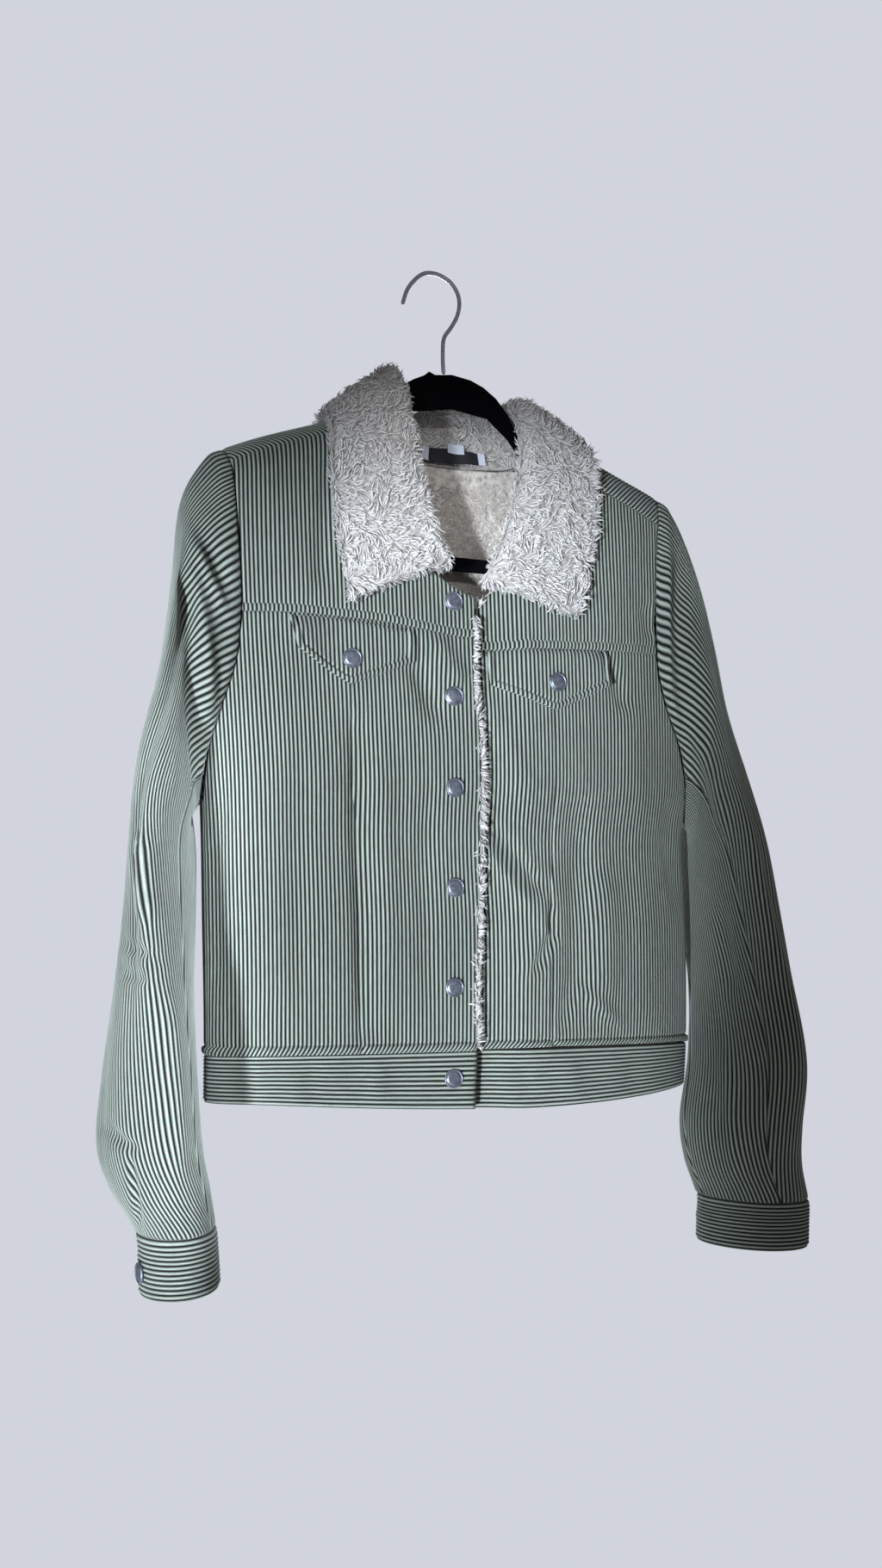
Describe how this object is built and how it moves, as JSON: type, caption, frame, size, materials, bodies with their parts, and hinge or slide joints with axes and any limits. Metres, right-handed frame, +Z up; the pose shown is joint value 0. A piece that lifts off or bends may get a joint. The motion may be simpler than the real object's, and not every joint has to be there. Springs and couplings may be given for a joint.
{
  "type": "sherpa lined jacket on hanger",
  "caption": "Cropped corduroy trucker jacket with sherpa collar and lining, snap front, flap pockets and cuffs, hanging open-necked on a plain hanger.",
  "frame": {"origin": "the underside of the hanger hook's top, where it rests on a rail", "axes": "+Z up along the hanging jacket, -Y out of the jacket's front, +X towards the wearer's left"},
  "size_m": [0.5444, 0.1903, 0.7751],
  "materials": {
    "corduroy": "green wide-wale cotton corduroy",
    "sherpa": "cream sherpa pile",
    "lining": "beige sherpa lining in the back",
    "snap": "brushed metal snap caps",
    "hanger": "black plastic",
    "wire": "steel wire",
    "label": "plain woven label with no text"
  },
  "bodies": {
    "root": {"right_front_yoke": "corduroy", "right_front_centre": "corduroy", "right_front_side": "corduroy", "right_front_lining": "sherpa", "right_pocket_flap": "corduroy", "left_front_yoke": "corduroy", "left_front_centre": "corduroy", "left_front_side": "corduroy", "left_front_lining": "sherpa", "left_pocket_flap": "corduroy", "back": "corduroy", "back_lining": "lining", "waistband_right_front": "corduroy", "waistband_left_front": "corduroy", "waistband_back": "corduroy", "right_upper_sleeve": "corduroy", "right_under_sleeve": "corduroy", "right_cuff": "corduroy", "left_upper_sleeve": "corduroy", "left_under_sleeve": "corduroy", "left_cuff": "corduroy", "collar": "sherpa", "neck_label": "label", "front_snap_1": "snap", "front_snap_2": "snap", "front_snap_3": "snap", "front_snap_4": "snap", "front_snap_5": "snap", "front_snap_6": "snap", "right_flap_snap": "snap", "left_flap_snap": "snap", "right_cuff_snap": "snap", "left_cuff_snap": "snap", "hanger": "hanger", "hook": "wire"}
  },
  "joints": []
}
